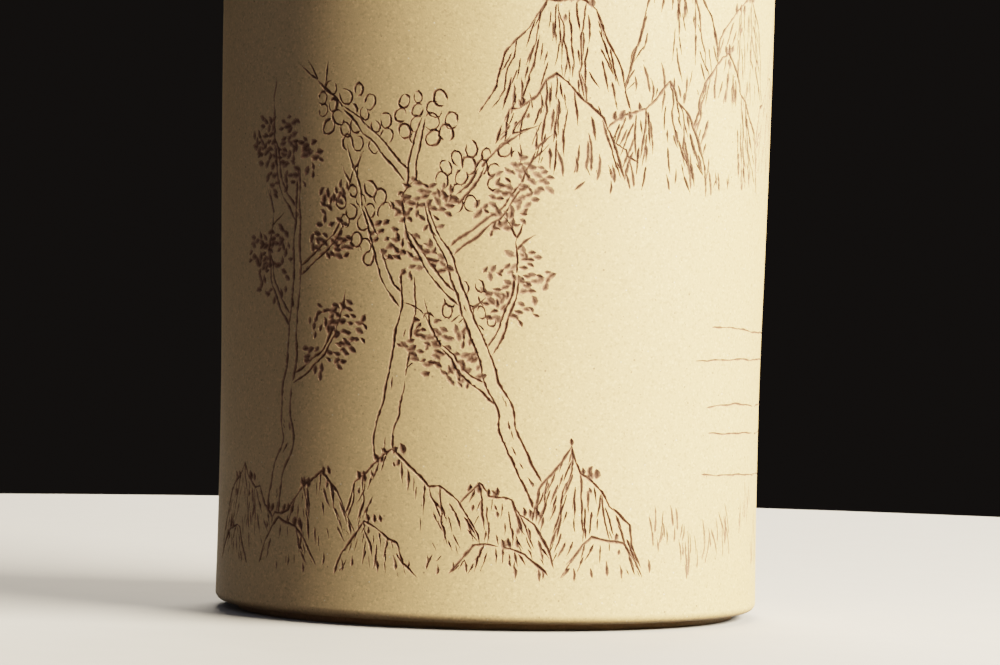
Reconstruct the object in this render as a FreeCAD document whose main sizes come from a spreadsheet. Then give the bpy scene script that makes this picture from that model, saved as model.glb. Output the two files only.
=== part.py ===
"""Slab-built clay brush pot (bitong) as a parametric FreeCAD document, in millimetres.

The pot is built the way a potter of unglazed purple-sand ware builds one.  A beaten slab of clay is
rolled into a tube and closed with a bevelled (scarfed) seam.  A disc is luted inside its lower end and
the inside corner is filled with a smoothed coil.  A low ring is luted underneath as the foot, and a
narrow band is luted inside the mouth to thicken the lip.  Every joint holds a thin layer of slip.

Frame: +Z up, origin on the table at the centre of the foot, -Y towards the carved front.
"""

import FreeCAD, Part
import math
import os
import re

import Sketcher

# Driving dimensions: cell alias, value in millimetres, meaning.
DIMENSIONS = [
    ("overall_height", 150.0, "table to the top of the lip"),
    ("waist_radius", 54.7, "outer radius at the narrowest level"),
    ("waist_height", 34.0, "table to the narrowest level"),
    ("swell_height", 62.0, "table to the level where the side turns from hollow to full"),
    ("mouth_flare", 1.5, "outer radius at the lip, less waist_radius"),
    ("foot_flare", 0.3, "outer radius at the lower edge, less waist_radius"),
    ("wall_thickness", 5.0, "thickness of the rolled slab"),
    ("base_thickness", 5.0, "thickness of the base disc"),
    ("slip_thickness", 0.3, "thickness of every luting layer"),
    ("scarf_run", 5.0, "distance along the wall that the bevelled seam travels through it"),
    ("foot_height", 1.2, "height of the foot ring alone"),
    ("foot_inset", 4.5, "lower edge of the wall to the outside of the foot ring"),
    ("foot_width", 5.0, "radial width of the foot ring"),
    ("foot_round", 0.5, "rounding of the foot ring's lower edges"),
    ("edge_round", 1.8, "rounding of the wall's lower outer edge"),
    ("band_height", 9.0, "height of the band inside the mouth"),
    ("band_thickness", 2.2, "radial thickness of the band inside the mouth"),
    ("lip_round", 1.3, "rounding of the lip, outside and inside"),
    ("band_round", 0.9, "rounding of the mouth band's lower inside edge"),
    ("coil_size", 4.0, "leg of the coil smoothed into the inside corner"),
]
ALIASES = [alias for alias, _, _ in DIMENSIONS]

# Levels and radii that several pieces share, as expressions over the cells.
TABLE = "0 * foot_height"
WALL_FOOT = "foot_height + slip_thickness"
BASE_TOP = f"{WALL_FOOT} + base_thickness"
LIP = "overall_height"
EDGE_RADIUS = "waist_radius + foot_flare"
MOUTH_RADIUS = "waist_radius + mouth_flare"
DISC_RADIUS = "waist_radius - wall_thickness - slip_thickness"
BAND_OUTSIDE = f"{MOUTH_RADIUS} - wall_thickness - slip_thickness"
BAND_INSIDE = f"{BAND_OUTSIDE} - band_thickness"
BAND_FOOT = f"{LIP} - band_height"
FOOT_OUTSIDE = f"{EDGE_RADIUS} - foot_inset"
FOOT_INSIDE = f"{FOOT_OUTSIDE} - foot_width"
MID_WALL = "waist_radius - wall_thickness / 2"

# Half turns of the side's three arcs.  Each is upright at one end, so its radius follows from its rise.
LOWER_TURN = f"2 * atan(foot_flare / (waist_height - ({WALL_FOOT})))"
UPPER_TURN = f"2 * atan(mouth_flare / ({LIP} - waist_height))"
LOWER_ARC = f"(waist_height - ({WALL_FOOT})) / sin({LOWER_TURN})"
HOLLOW_ARC = f"(swell_height - waist_height) / sin({UPPER_TURN})"
FULL_ARC = f"({LIP} - swell_height) / sin({UPPER_TURN})"
SWELL_RADIUS = f"waist_radius + mouth_flare * (swell_height - waist_height) / ({LIP} - waist_height)"


def lower_face(level):
    """Radius of the wall's inner face at a level below the waist."""
    return f"waist_radius - wall_thickness + {LOWER_ARC} - sqrt(({LOWER_ARC})^2 - (waist_height - ({level}))^2)"


def upper_face(level):
    """Radius of the wall's inner face at a level above the swell."""
    return f"{MOUTH_RADIUS} - wall_thickness - {FULL_ARC} + sqrt(({FULL_ARC})^2 - ({LIP} - ({level}))^2)"


def cells(expression):
    """The expression with each alias written as a reference to the sheet."""
    return re.sub(r"\b(" + "|".join(ALIASES) + r")\b", r"dims.\1", expression)


def make_sheet(doc):
    """The spreadsheet of driving dimensions, one aliased cell each."""
    sheet = doc.addObject("Spreadsheet::Sheet", "dims")
    for row, (alias, value, meaning) in enumerate(DIMENSIONS, start=1):
        sheet.set(f"A{row}", alias)
        sheet.set(f"B{row}", str(value))
        sheet.set(f"C{row}", meaning)
        sheet.setAlias(f"B{row}", alias)
    doc.recompute()
    return sheet


def value(sheet, expression):
    """The expression's present value in millimetres."""
    found = sheet.evalExpression(cells(expression))
    return float(getattr(found, "Value", found))


def origin_feature(body, role):
    """One of the body's own origin planes or axes."""
    return next(f for f in body.Origin.OriginFeatures if f.Role == role)


def arc_between(start, end, radius, side):
    """Arc of a circle from start to end, its centre on the left (side 1) or right (side -1) of the way.

    Returns the arc and True if it runs from start to end anticlockwise, the way a sketch stores it.
    """
    chord = end - start
    left = FreeCAD.Vector(-chord.y, chord.x, 0).normalize()
    reach = math.sqrt(radius**2 - (chord.Length / 2) ** 2)
    centre = start + chord * 0.5 + left * (side * reach)
    first, last = (start, end) if side > 0 else (end, start)
    angles = [math.atan2(p.y - centre.y, p.x - centre.x) for p in (first, last)]
    if angles[1] < angles[0]:
        angles[1] += 2 * math.pi
    circle = Part.Circle(centre, FreeCAD.Vector(0, 0, 1), radius)
    return Part.ArcOfCircle(circle, *angles), side > 0


def outline(sheet, body, name, plane, corners, arcs=None):
    """A closed, fully constrained sketch through corners, each a pair of expressions.

    arcs maps the index of a side, which starts at the corner of that index, to (radius expression,
    side of its centre); every other side is a straight line.
    """
    sketch = body.newObject("Sketcher::SketchObject", name)
    sketch.AttachmentSupport = (origin_feature(body, plane), [""])
    sketch.MapMode = "FlatFace"
    arcs = arcs or {}
    points = [FreeCAD.Vector(value(sheet, x), value(sheet, y), 0) for x, y in corners]
    starts, ends = [], []
    for i, start in enumerate(points):
        end = points[(i + 1) % len(points)]
        forward = True
        if i in arcs:
            radius, side = arcs[i]
            edge, forward = arc_between(start, end, value(sheet, radius), side)
        else:
            edge = Part.LineSegment(start, end)
        geometry = sketch.addGeometry(edge, False)
        starts.append((geometry, 1 if forward else 2))
        ends.append((geometry, 2 if forward else 1))
    for i, (x, y) in enumerate(corners):
        sketch.addConstraint(Sketcher.Constraint("Coincident", *ends[i - 1], *starts[i]))
        for kind, expression, now in (("DistanceX", x, points[i].x), ("DistanceY", y, points[i].y)):
            constraint = sketch.addConstraint(Sketcher.Constraint(kind, -1, 1, *starts[i], now))
            sketch.setExpression(f"Constraints[{constraint}]", cells(expression))
    for i, (radius, _) in arcs.items():
        constraint = sketch.addConstraint(Sketcher.Constraint("Radius", starts[i][0], value(sheet, radius)))
        sketch.setExpression(f"Constraints[{constraint}]", cells(radius))
    return sketch


def turned(doc, sheet, name, corners, arcs=None):
    """A body made by turning a profile in the XZ plane through a full turn about Z."""
    body = doc.addObject("PartDesign::Body", name)
    sketch = outline(sheet, body, f"{name}_profile", "XZ_Plane", corners, arcs)
    turn = body.newObject("PartDesign::Revolution", f"{name}_turn")
    turn.Profile = sketch
    turn.ReferenceAxis = (origin_feature(body, "Z_Axis"), [""])
    turn.Angle = 360
    doc.recompute()
    return body


def ring(doc, sheet, name, inside, outside, bottom, top):
    """A turned ring of rectangular section."""
    return turned(doc, sheet, name, [(inside, bottom), (outside, bottom), (outside, top), (inside, top)])


def round_edges(doc, sheet, body, radius, circles):
    """Fillets the circular edges of the body that have these (radius, level) expressions."""
    tip = body.Tip
    wanted = [(value(sheet, r), value(sheet, z)) for r, z in circles]
    names = []
    for i, edge in enumerate(tip.Shape.Edges, start=1):
        if not isinstance(edge.Curve, Part.Circle):
            continue
        found = (edge.Curve.Radius, edge.Curve.Center.z)
        if any(math.dist(found, w) < 1e-4 for w in wanted):
            names.append(f"Edge{i}")
    if len(names) != len(wanted):
        raise RuntimeError(f"{body.Label}: {len(names)} of {len(wanted)} edges found to round")
    fillet = body.newObject("PartDesign::Fillet", f"{body.Name}_round_{len(body.Group)}")
    fillet.Base = (tip, names)
    fillet.setExpression("Radius", cells(radius))
    doc.recompute()
    return fillet


def boolean(doc, kind, label, base, tool):
    """A Part::Cut or Part::Common of two objects, labelled as a sub-part."""
    made = doc.addObject(kind, label)
    made.Label = label
    made.Base = base
    made.Tool = tool
    return made


def wall_blank(doc, sheet):
    """The closed tube: hollow at the waist, full above it, upright at the lip."""
    outside = [(EDGE_RADIUS, WALL_FOOT), ("waist_radius", "waist_height"),
               (SWELL_RADIUS, "swell_height"), (MOUTH_RADIUS, LIP)]
    inside = [(f"{radius} - wall_thickness", level) for radius, level in reversed(outside)]
    arcs = {0: (LOWER_ARC, -1), 1: (HOLLOW_ARC, -1), 2: (FULL_ARC, 1),
            4: (FULL_ARC, -1), 5: (HOLLOW_ARC, 1), 6: (LOWER_ARC, 1)}
    body = turned(doc, sheet, "wall_blank", outside + inside, arcs)
    round_edges(doc, sheet, body, "edge_round", [(EDGE_RADIUS, WALL_FOOT)])
    round_edges(doc, sheet, body, "lip_round", [(MOUTH_RADIUS, LIP)])
    return body


def scarf(doc, sheet):
    """An upright sheet of slip thickness that crosses the back of the wall on the bevel."""
    slope = "scarf_run / wall_thickness"
    half_width = f"slip_thickness / 2 * sqrt(1 + ({slope})^2)"
    far = f"{MOUTH_RADIUS} + foot_flare + wall_thickness"
    near = "waist_radius - 2 * wall_thickness"
    body = doc.addObject("PartDesign::Body", "scarf")
    corners = [
        (f"({y} - ({MID_WALL})) * {slope} + ({sign} * {half_width})", y)
        for y, sign in ((near, -1), (near, 1), (far, 1), (far, -1))
    ]
    sketch = outline(sheet, body, "scarf_section", "XY_Plane", corners)
    pad = body.newObject("PartDesign::Pad", "scarf_pad")
    pad.Profile = sketch
    pad.setExpression("Length", cells(f"{LIP} + wall_thickness"))
    doc.recompute()
    return body


def rolled_wall(doc, blank, cutter):
    """The slab with its two bevelled ends, and the slip that closes them."""
    slab = boolean(doc, "Part::Cut", "wall_slab", blank, cutter)
    seam = boolean(doc, "Part::Common", "seam_slip", blank, cutter)
    return [slab, seam]


def base_pieces(doc, sheet):
    """The disc inside the lower end of the tube, its ring of slip, and the coil in the corner above."""
    disc = doc.addObject("PartDesign::Body", "base_disc")
    sketch = disc.newObject("Sketcher::SketchObject", "base_disc_circle")
    sketch.AttachmentSupport = (origin_feature(disc, "XY_Plane"), [""])
    sketch.MapMode = "FlatFace"
    sketch.setExpression("AttachmentOffset.Base.z", cells(WALL_FOOT))
    centre, up = FreeCAD.Vector(0, 0, 0), FreeCAD.Vector(0, 0, 1)
    circle = sketch.addGeometry(Part.Circle(centre, up, value(sheet, DISC_RADIUS)), False)
    sketch.addConstraint(Sketcher.Constraint("Coincident", circle, 3, -1, 1))
    radius = sketch.addConstraint(Sketcher.Constraint("Radius", circle, value(sheet, DISC_RADIUS)))
    sketch.setExpression(f"Constraints[{radius}]", cells(DISC_RADIUS))
    pad = disc.newObject("PartDesign::Pad", "base_disc_pad")
    pad.Profile = sketch
    pad.setExpression("Length", cells("base_thickness"))
    doc.recompute()

    slip_corners = [(DISC_RADIUS, WALL_FOOT), (lower_face(WALL_FOOT), WALL_FOOT),
                    (lower_face(BASE_TOP), BASE_TOP), (DISC_RADIUS, BASE_TOP)]
    slip = turned(doc, sheet, "base_slip", slip_corners, {1: (LOWER_ARC, -1)})

    coil_top = f"{BASE_TOP} + coil_size"
    coil_foot = f"{lower_face(coil_top)} - coil_size"
    coil_corners = [(coil_foot, BASE_TOP), (lower_face(BASE_TOP), BASE_TOP), (lower_face(coil_top), coil_top)]
    coil = turned(doc, sheet, "corner_coil", coil_corners, {1: (LOWER_ARC, -1), 2: ("coil_size", -1)})
    return [disc, slip, coil]


def foot_pieces(doc, sheet):
    """The low ring that the pot stands on, and the slip that holds it to the underside."""
    foot = ring(doc, sheet, "foot_ring", FOOT_INSIDE, FOOT_OUTSIDE, TABLE, "foot_height")
    round_edges(doc, sheet, foot, "foot_round", [(FOOT_INSIDE, TABLE), (FOOT_OUTSIDE, TABLE)])
    slip = ring(doc, sheet, "foot_slip", FOOT_INSIDE, FOOT_OUTSIDE, "foot_height", WALL_FOOT)
    return [foot, slip]


def mouth_pieces(doc, sheet):
    """The band that thickens the lip on its inside, and its slip."""
    band = ring(doc, sheet, "mouth_band", BAND_INSIDE, BAND_OUTSIDE, BAND_FOOT, LIP)
    round_edges(doc, sheet, band, "lip_round", [(BAND_INSIDE, LIP)])
    round_edges(doc, sheet, band, "band_round", [(BAND_INSIDE, BAND_FOOT)])
    corners = [(BAND_OUTSIDE, BAND_FOOT), (upper_face(BAND_FOOT), BAND_FOOT),
               (upper_face(LIP), LIP), (BAND_OUTSIDE, LIP)]
    slip = turned(doc, sheet, "mouth_slip", corners, {1: (FULL_ARC, 1)})
    return [band, slip]


def check(doc, pieces):
    """Stops on any failed feature, and on any piece that isn't one valid solid."""
    for obj in doc.Objects:
        if {"Invalid", "Error"} & set(obj.State):
            raise RuntimeError(f"{obj.Label}: {obj.State}")
    for piece in pieces:
        shape = piece.Shape
        if shape.isNull() or not shape.isValid() or len(shape.Solids) != 1 or shape.Volume <= 0:
            raise RuntimeError(f"{piece.Label}: not one valid solid")


def main():
    doc = FreeCAD.newDocument("brush_pot")
    sheet = make_sheet(doc)
    blank = wall_blank(doc, sheet)
    pieces = rolled_wall(doc, blank, scarf(doc, sheet))
    pieces += base_pieces(doc, sheet)
    pieces += foot_pieces(doc, sheet)
    pieces += mouth_pieces(doc, sheet)
    doc.recompute()
    check(doc, pieces)
    os.makedirs("parts", exist_ok=True)
    for piece in pieces:
        piece.Shape.exportStep(os.path.join("parts", f"{piece.Label}.step"))
        box = piece.Shape.optimalBoundingBox(False, False)
        print(f"{piece.Label:12s} {piece.Shape.Volume / 1000:8.2f} cm3  z {box.ZMin:.2f} to {box.ZMax:.2f}")


main()
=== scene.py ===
"""A carved brush pot of unglazed cream clay, in plain soft studio light.

The pot's wall is one mesh: its outer face is triangulated round every knife stroke of the carved
landscape, so that the strokes are real grooves, and a thin brown wash lies in them as a piece of its own.
The picture is a generic landscape: its outlines come from seeded draws and stand where spacing rules
put them.  Shapes are worked out in millimetres and written in metres.  The frame is the CAD model's:
+Z up, the foot's centre at the origin, the front towards -Y.
"""

import math
import random

import bpy
import numpy as np
from mathutils import Matrix, Vector
from mathutils.geometry import delaunay_2d_cdt


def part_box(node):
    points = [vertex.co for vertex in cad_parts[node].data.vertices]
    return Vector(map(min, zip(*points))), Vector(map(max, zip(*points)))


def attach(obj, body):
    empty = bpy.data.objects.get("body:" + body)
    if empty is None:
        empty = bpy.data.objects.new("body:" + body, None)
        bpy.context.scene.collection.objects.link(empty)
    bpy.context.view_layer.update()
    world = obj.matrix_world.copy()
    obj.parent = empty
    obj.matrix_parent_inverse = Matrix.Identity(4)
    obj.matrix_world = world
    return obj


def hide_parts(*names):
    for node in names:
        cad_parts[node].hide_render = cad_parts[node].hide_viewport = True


MM = 0.001

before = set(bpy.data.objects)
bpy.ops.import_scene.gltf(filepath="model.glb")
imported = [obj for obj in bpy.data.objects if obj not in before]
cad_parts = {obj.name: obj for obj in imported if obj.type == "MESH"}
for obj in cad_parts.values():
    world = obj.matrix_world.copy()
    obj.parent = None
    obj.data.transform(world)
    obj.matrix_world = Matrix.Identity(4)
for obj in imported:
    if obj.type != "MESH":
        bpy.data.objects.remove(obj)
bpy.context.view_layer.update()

# ---------------------------------------------------------------- sizes, from the frame

def box_mm(node):
    """A CAD node's lowest and highest corners, in millimetres."""
    low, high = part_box(node)
    return low / MM, high / MM


wall_low, wall_high = box_mm("wall_slab")
disc_low, disc_high = box_mm("base_disc")
coil_low, coil_high = box_mm("corner_coil")
foot_low, foot_high = box_mm("foot_ring")
band_low, band_high = box_mm("mouth_band")

WALL_FOOT, LIP = wall_low.z, wall_high.z
MOUTH_RADIUS = (wall_high.x - wall_low.x) / 2
MOUTH_FLARE, FOOT_FLARE = 1.5, 0.3           # of the outer radius, over its least
WAIST_Z, SWELL_Z = 34.0, 62.0                # its narrowest level, and where the side turns full
WAIST_RADIUS = MOUTH_RADIUS - MOUTH_FLARE
WALL = 5.0                                   # thickness of the slab
EDGE_ROUND, LIP_ROUND = 1.8, 1.3
SLIP = WALL_FOOT - foot_high.z                # thickness of every luting layer
SCARF_RUN = 5.0                              # how far the bevelled seam travels along the wall
ROLL_RADIUS = 55.0                           # the wall's picture is unrolled at this radius
COLUMNS = 180                                # divisions of a full turn
DISC_RADIUS = (disc_high.x - disc_low.x) / 2
BAND_HEIGHT = LIP - band_low.z
BAND_OUTSIDE = (band_high.x - band_low.x) / 2
BAND_THICK = 2.2
COIL = coil_high.z - coil_low.z
FOOT_OUTSIDE = (foot_high.x - foot_low.x) / 2
FOOT_WIDTH = 5.0

TURN = 2 * math.atan(MOUTH_FLARE / (LIP - WAIST_Z))
HOLLOW_ARC, FULL_ARC = (SWELL_Z - WAIST_Z) / math.sin(TURN), (LIP - SWELL_Z) / math.sin(TURN)
LOWER_ARC = (WAIST_Z - WALL_FOOT) / math.sin(2 * math.atan(FOOT_FLARE / (WAIST_Z - WALL_FOOT)))


def side_radius(z):
    """Outer radius of the wall at each level: three arcs, hollow below the swell and full above it."""
    z = np.asarray(z, float)
    lower = WAIST_RADIUS + LOWER_ARC - np.sqrt(LOWER_ARC**2 - np.clip(WAIST_Z - z, 0, None) ** 2)
    hollow = WAIST_RADIUS + HOLLOW_ARC - np.sqrt(HOLLOW_ARC**2 - np.clip(z - WAIST_Z, 0, SWELL_Z) ** 2)
    full = MOUTH_RADIUS - FULL_ARC + np.sqrt(FULL_ARC**2 - np.clip(LIP - z, 0, None) ** 2)
    return np.where(z < WAIST_Z, lower, np.where(z < SWELL_Z, hollow, full))


def uneven(angle, z, reach, turn):
    """Slow, hand-made unevenness between 0 and reach, which closes after a full turn."""
    wave = (0.5 * np.sin(2 * angle + z / 45 + turn) + 0.3 * np.sin(5 * angle - z / 29 + 3 * turn)
            + 0.2 * np.sin(9 * angle + z / 17 + 5 * turn))
    return reach * (0.5 + 0.5 * wave)


def outer_dent(angle, z):
    """How far the wall's outer face lies inside its true surface."""
    return uneven(angle, z, 0.07, 0.4)


def inner_dent(angle, z):
    """The same for its inner face, which is less even."""
    return uneven(angle, z, 0.25, 1.9)


def on_turn(angle, radius, z):
    """Points at an angle round from the front, +X being a quarter turn on."""
    return np.stack([radius * np.sin(angle), -radius * np.cos(angle), z + 0 * angle], axis=-1)


# ---------------------------------------------------------------- the carved picture
# The picture is drawn on the unrolled wall, in millimetres: u runs round to the right from the front,
# v is the height above the table.  A cut is one knife stroke: its points, half widths and depth.
# What stands in front is drawn first, and its outline hides the parts of later cuts behind it.

rng = random.Random(11)                      # places and shapes everything in the picture
grit = random.Random(12)                     # roughens the edges of the cuts
cuts = []
shields = []

LINE, THIN, FINE = 0.64, 0.54, 0.41          # widths of cut for outlines, texture and distance
DEEP, SHALLOW, FAINT = 0.44, 0.33, 0.22      # depths of cut
ROUGH = 0.1                                  # an elbow's greatest offset, as a share of its run
LEAF_GAP, RING_RADIUS = 1.9, 1.27            # between groups of leaf dots; of a looped leaf


def bent(points, step=0.85):
    """Points about a step apart on a Catmull-Rom curve through the given ones."""
    ends = [points[0], *points, points[-1]]
    out = []
    for a, b, c, d in zip(ends, ends[1:], ends[2:], ends[3:]):
        count = max(1, round(math.dist(b, c) / step))
        for k in range(count):
            t = k / count
            out.append(tuple(
                0.5 * (2 * b[i] + (c[i] - a[i]) * t + (2 * a[i] - 5 * b[i] + 4 * c[i] - d[i]) * t**2
                       + (3 * b[i] - a[i] - 3 * c[i] + d[i]) * t**3)
                for i in (0, 1)))
    return out + [tuple(points[-1])]


def crooked(points, rough=ROUGH):
    """The same line with a random elbow in each long run, as a rock's edge has."""
    out = [points[0]]
    for a, b in zip(points, points[1:]):
        run = math.dist(a, b)
        if run > 3.5:
            side = rng.uniform(-rough, rough)
            t = rng.uniform(0.35, 0.65)
            out.append((a[0] + (b[0] - a[0]) * t - (b[1] - a[1]) * side,
                        a[1] + (b[1] - a[1]) * t + (b[0] - a[0]) * side))
        out.append(b)
    return out


def sideways(points):
    """Unit vectors to the left of a line at each of its points."""
    out = []
    for i in range(len(points)):
        a, b = points[max(i - 1, 0)], points[min(i + 1, len(points) - 1)]
        run = math.dist(a, b) or 1.0
        out.append((-(b[1] - a[1]) / run, (b[0] - a[0]) / run))
    return out


def two_sides(points, halves):
    """The lines to the left and right of a line, its half widths away."""
    across = sideways(points)
    left = [(u + du * r, v + dv * r) for (u, v), (du, dv), r in zip(points, across, halves)]
    right = [(u - du * r, v - dv * r) for (u, v), (du, dv), r in zip(points, across, halves)]
    return left, right


def onward(place, heading, run):
    """The place that far on in that direction."""
    return place[0] + run * math.cos(heading), place[1] + run * math.sin(heading)


def inside(point, outline):
    """True if the point is inside the closed outline."""
    u, v = point
    hit = False
    for (a, b), (c, d) in zip(outline, outline[1:] + outline[:1]):
        if (b > v) != (d > v) and u < a + (v - b) * (c - a) / (d - b):
            hit = not hit
    return hit


def hidden(point):
    return any(low_u < point[0] < high_u and low_v < point[1] < high_v and inside(point, outline)
               for outline, low_u, high_u, low_v, high_v in shields)


def shield(outline):
    """Hides what is cut later inside this outline."""
    us, vs = [p[0] for p in outline], [p[1] for p in outline]
    shields.append((list(outline), min(us), max(us), min(vs), max(vs)))


def cut(points, width=LINE, depth=DEEP, taper=(1.2, 2.2), wobble=0.1, step=0.62, hide=True):
    """One knife stroke along a bent line, with tapered ends, a ragged edge and an unsteady hand."""
    line = bent(points, step)
    phases = [rng.uniform(0, math.tau) for _ in range(4)]
    across = sideways(line)
    far = 0.0
    stroke = []
    for i, ((u, v), (du, dv)) in enumerate(zip(line, across)):
        far += math.dist(line[i - 1], line[i]) if i else 0.0
        sway = wobble * (math.sin(far / 1.1 + phases[0]) + 1.3 * math.sin(far / 3.1 + phases[1]))
        sway += grit.uniform(-0.1, 0.1) * width
        swell = (grit.uniform(0.68, 1.26) + 0.12 * math.sin(far / 0.9 + phases[2])
                 + 0.17 * math.sin(far / 2.9 + phases[3]))
        stroke.append(((u + du * sway, v + dv * sway), width / 2 * swell, far))
    runs, run = [], []
    for item in stroke:
        if hide and hidden(item[0]):
            runs.append(run)
            run = []
        else:
            run.append(item)
    runs.append(run)
    for run in runs:
        if len(run) < 3:
            continue
        start, end = run[0][2], run[-1][2]
        halves = []
        for _, half, far in run:
            thin_in = min(1.0, 0.35 + 0.65 * (far - start) / taper[0]) if taper[0] else 1.0
            thin_out = min(1.0, 0.2 + 0.8 * (end - far) / taper[1]) if taper[1] else 1.0
            halves.append(max(half * thin_in * thin_out, 0.06))
        cuts.append(([p for p, _, _ in run], halves, depth))


def straight(points, step=0.9):
    """Points about a step apart along straight runs between the given ones."""
    out = []
    for b, c in zip(points, points[1:]):
        count = max(1, round(math.dist(b, c) / step))
        out += [(b[0] + (c[0] - b[0]) * k / count, b[1] + (c[1] - b[1]) * k / count) for k in range(count)]
    return out + [tuple(points[-1])]


def broken(line, width=LINE, depth=DEEP, *, chance, gap=1):
    """A line of close points that the knife lifts from now and then."""
    start = 0
    while start < len(line) - 3:
        length = rng.randint(12, 30) if rng.random() < 0.8 else rng.randint(6, 10)
        end = min(start + length, len(line))
        cut(line[start:end], width, depth, taper=(0.7, 1.3), wobble=0.07)
        start = end - 2 + (gap + 1 if rng.random() < chance else 0)


def dab(u, v, size, angle, depth):
    """A leaf dot: one press of the knife, blunt at its start and pointed at its end."""
    if hidden((u, v)):
        return
    du, dv = math.cos(angle) * size / 2, math.sin(angle) * size / 2
    bow = rng.uniform(-0.2, 0.2) * size
    fat = size * rng.uniform(0.37, 0.5)
    cuts.append(([(u - du, v - dv), (u - 0.35 * du - dv * bow, v - 0.35 * dv + du * bow),
                  (u + 0.4 * du - dv * bow, v + 0.4 * dv + du * bow), (u + du, v + dv)],
                 [fat * rng.uniform(0.5, 0.85), fat,
                  fat * rng.uniform(0.6, 0.95), fat * rng.uniform(0.12, 0.4)],
                 depth))


def ring_leaf(u, v, radius):
    """A leaf drawn as an upright loop that doesn't quite close."""
    first = rng.uniform(0, math.tau)
    sweep = math.radians(rng.uniform(285, 350)) * rng.choice((-1, 1))
    wide, lean = rng.uniform(0.72, 0.95), rng.uniform(-0.5, 0.5)
    points = []
    for k in range(8):
        a = first + sweep * k / 7
        r = radius * rng.uniform(0.92, 1.08)
        x, y = r * wide * math.cos(a), r * 1.12 * math.sin(a)
        points.append((u + x * math.cos(lean) - y * math.sin(lean),
                       v + x * math.sin(lean) + y * math.cos(lean)))
    cut(points, THIN * rng.uniform(0.9, 1.15), DEEP * rng.uniform(0.9, 1.1), taper=(0.4, 0.7), wobble=0.03,
        step=0.6)


def scattered(u, v, reach_u, reach_v, spacing, fullness):
    """Random places in an ellipse, no two nearer than the spacing."""
    places = []
    for _ in range(int(fullness * 9 * reach_u * reach_v / spacing**2)):
        a, r = rng.uniform(0, math.tau), math.sqrt(rng.random())
        place = (u + reach_u * r * math.cos(a), v + reach_v * r * math.sin(a))
        if all(math.dist(place, other) > spacing for other in places):
            places.append(place)
    return places


def pepper_leaves(clumps):
    """Dots of foliage in little groups of two to four."""
    taken = []
    for u, v, reach_u, reach_v in clumps:
        for place in scattered(u, v, reach_u, reach_v, LEAF_GAP, 2.6):
            if any(math.dist(place, other) < LEAF_GAP for other in taken):
                continue
            taken.append(place)
            lean = rng.choice((0.5, 2.6, 0.1, 3.0, 1.5)) + rng.uniform(-0.3, 0.3)
            turn = rng.uniform(0, math.tau)
            for k in range(rng.choice((1, 2, 3, 3, 4))):
                far = rng.uniform(0.75, 1.0) if k < 3 else 1.9
                dab(*onward(place, turn + 2.1 * k, far), rng.uniform(1.15, 1.7),
                    lean + rng.uniform(-0.5, 0.5), rng.uniform(SHALLOW - 0.05, DEEP - 0.04))


def ring_leaves(clumps):
    """Looped leaves that nearly touch."""
    gap = RING_RADIUS * 1.78
    taken = []
    for u, v, reach_u, reach_v in clumps:
        for place in scattered(u, v, reach_u, reach_v, gap, 5.0):
            if all(math.dist(place, other) > gap for other in taken):
                taken.append(place)
                ring_leaf(*place, RING_RADIUS * rng.uniform(0.85, 1.18))


def limb(path, breadths, knots=0):
    """A trunk or bough in two broken lines with bark marks between, which hides what is behind it."""
    spine = bent(crooked(path, 0.07), 1.0)
    across = sideways(spine)
    count = len(spine) - 1
    half = []
    for i in range(count + 1):
        place = i / count * (len(breadths) - 1)
        k = min(int(place), len(breadths) - 2)
        half.append((breadths[k] + (breadths[k + 1] - breadths[k]) * (place - k)) / 2)
    left, right = two_sides(spine, half)
    for side in (left, right):
        broken(side, chance=0.12)
    for _ in range(knots):
        i = rng.randint(2, count - 2)
        shift = rng.uniform(-0.5, 0.5) * half[i]
        (u, v), (du, dv) = spine[i], across[i]
        length = rng.uniform(0.8, 2.4)
        mark = [(u + du * shift, v + dv * shift),
                (u + du * shift * 1.3 + dv * length, v + dv * shift * 1.3 - du * length)]
        cut(mark, THIN, SHALLOW, taper=(0.5, 0.9), wobble=0.05)
    shield(left + right[::-1])


def twigs(root, heading, length, order, width=LINE):
    """Bare branching twigs, each a single tapering cut."""
    points = [root]
    for _ in range(3):
        heading += rng.uniform(-0.22, 0.22)
        points.append(onward(points[-1], heading, length / 3))
    cut(points, width, DEEP, taper=(0, 2.4), wobble=0.06)
    if not order:
        return
    turns = ((2, rng.uniform(0.45, 0.8)), (3, -rng.uniform(0.3, 0.6)), (3, rng.uniform(0.25, 0.5)))
    for start, turn in turns:
        if rng.random() < 0.88:
            twigs(points[start], heading + turn * rng.choice((-1, 1)), length * rng.uniform(0.5, 0.75),
                  order - 1, width * 0.86)


def off_lines(place, lines):
    """Distance from a place to the nearest point of any of the lines."""
    return min(math.dist(place, point) for line in lines for point in line)


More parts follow.
